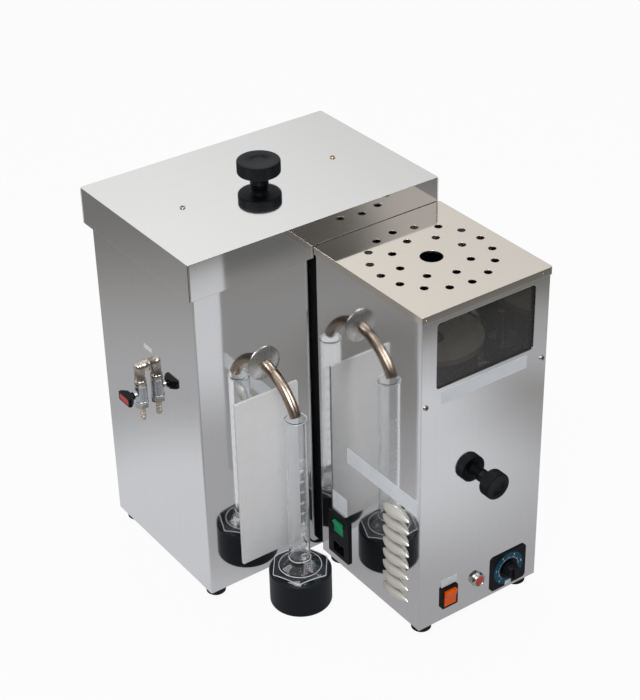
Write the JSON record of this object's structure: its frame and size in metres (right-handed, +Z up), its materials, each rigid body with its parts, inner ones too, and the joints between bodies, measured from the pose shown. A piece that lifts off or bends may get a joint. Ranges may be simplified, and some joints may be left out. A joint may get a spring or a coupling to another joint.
{
  "type": "atmospheric distillation apparatus",
  "caption": "Bench distillation apparatus: heater tower with window, vented cover and heater lift beside a lidded condenser bath, its tube draining into a graduated glass receiver.",
  "frame": {"origin": "middle of the bounding box at bench level, under the feet", "axes": "+Z up; the tower's control panel faces -Y; the louvres and the drain valve face -X"},
  "size_m": [0.434, 0.5354, 0.585],
  "materials": {
    "polished_steel": "mirror polished stainless sheet",
    "plain_steel": "bright steel",
    "tube_steel": "drawn tube, warm grey",
    "plated": "nickel plated",
    "black_plastic": "moulded, satin",
    "black_rubber": "matt",
    "clear_glass": "clear",
    "tinted_glass": "smoke tint",
    "white_plate": "white, satin",
    "liner_board": "matt",
    "wool": "mineral wool",
    "red_plastic": "gloss",
    "orange_plastic": "gloss",
    "green_plastic": "gloss",
    "red_lens": "clear red",
    "brass": "turned",
    "ceramic": "fired, matt",
    "element": "heat stained"
  },
  "bodies": {
    "frame": {"bath_casing": "polished_steel", "bath_tank": "plain_steel", "bath_insulation": "wool", "condenser_tube": "tube_steel", "tube_rosette": "polished_steel", "reading_plate": "white_plate", "valve_elbow": "plated", "valve_body": "plated", "hose_barb": "plated", "bath_feet": "black_rubber", "tower_feet": "black_rubber", "tower_spacer": "black_plastic", "tower_shell": "polished_steel", "tower_base": "plain_steel", "front_panel": "polished_steel", "panel_screws": "plain_steel", "window_glass": "tinted_glass", "window_frame": "plain_steel", "chamber_floor": "plain_steel", "guide_rods": "plain_steel", "shaft_bush": "brass", "shaft_bracket": "plain_steel", "regulator_plate": "black_plastic", "regulator_body": "black_plastic", "lamp_bezel": "plated", "lamp_lens": "red_lens", "rocker_frame": "black_plastic", "inlet_housing": "black_plastic", "inlet_pins": "brass"},
    "lid": {"bath_lid": "polished_steel", "lid_liner": "liner_board", "lid_knob": "black_plastic", "lid_stud": "plain_steel", "lid_screws": "brass"},
    "cover": {"tower_cover": "polished_steel", "cover_screws": "plain_steel"},
    "heater": {"heater_carriage": "plain_steel", "lift_rack": "plain_steel", "heater_dish": "plain_steel", "heater_element": "element", "flask_board": "ceramic"},
    "lift_drive": {"lift_knob": "black_plastic", "lift_shaft": "plain_steel", "lift_pinion": "brass"},
    "regulator": {"regulator_knob": "black_plastic", "regulator_spindle": "plain_steel"},
    "power_switch": {"power_rocker": "orange_plastic"},
    "mains_switch": {"mains_rocker": "green_plastic"},
    "fuse_holder": {"fuse_drawer": "black_plastic"},
    "drain_lever": {"valve_ball": "plated", "valve_lever": "black_plastic", "lever_insert": "red_plastic"},
    "block": {"rest_block": "black_plastic"},
    "receiver": {"receiver_cylinder": "clear_glass"}
  },
  "joints": [
    {"name": "lid_lift", "type": "slide", "parent": "frame", "child": "lid", "axis": [0, 0, 1], "range_m": [0, 0.15]},
    {"name": "cover_lift", "type": "slide", "parent": "frame", "child": "cover", "axis": [0, 0, 1], "range_m": [0, 0.1]},
    {"name": "heater_lift", "type": "slide", "parent": "frame", "child": "heater", "axis": [0, 0, 1], "range_m": [0, 0.04]},
    {"name": "lift_knob_turn", "type": "hinge", "parent": "frame", "child": "lift_drive", "pos_m": [0.111, -0.23425, 0.232], "axis": [0, -1, 0], "range_deg": [0, 191]},
    {"name": "regulator_turn", "type": "hinge", "parent": "frame", "child": "regulator", "pos_m": [0.164, -0.23425, 0.05], "axis": [0, 1, 0], "range_deg": [-135, 135]},
    {"name": "power_switch_rock", "type": "hinge", "parent": "frame", "child": "power_switch", "pos_m": [0.058, -0.23025, 0.053], "axis": [-1, 0, 0], "range_deg": [0, 18]},
    {"name": "mains_switch_rock", "type": "hinge", "parent": "frame", "child": "mains_switch", "pos_m": [0.011, -0.05325, 0.082], "axis": [0, 1, 0], "range_deg": [0, 18]},
    {"name": "fuse_slide", "type": "slide", "parent": "frame", "child": "fuse_holder", "axis": [-1, 0, 0], "range_m": [0, 0.03]},
    {"name": "drain_turn", "type": "hinge", "parent": "frame", "child": "drain_lever", "pos_m": [-0.19, 0.13575, 0.2895], "axis": [1, 0, 0], "range_deg": [0, 90]},
    {"name": "block_slide", "type": "slide", "parent": "frame", "child": "block", "axis": [0, -1, 0], "range_m": [0, 0.2]},
    {"name": "receiver_lift", "type": "slide", "parent": "block", "child": "receiver", "axis": [0, 0, 1], "range_m": [0, 0.008]}
  ],
  "couplings": [
    {"joint": "lift_knob_turn", "follows": "heater_lift", "rad_per_m": 83.333}
  ]
}
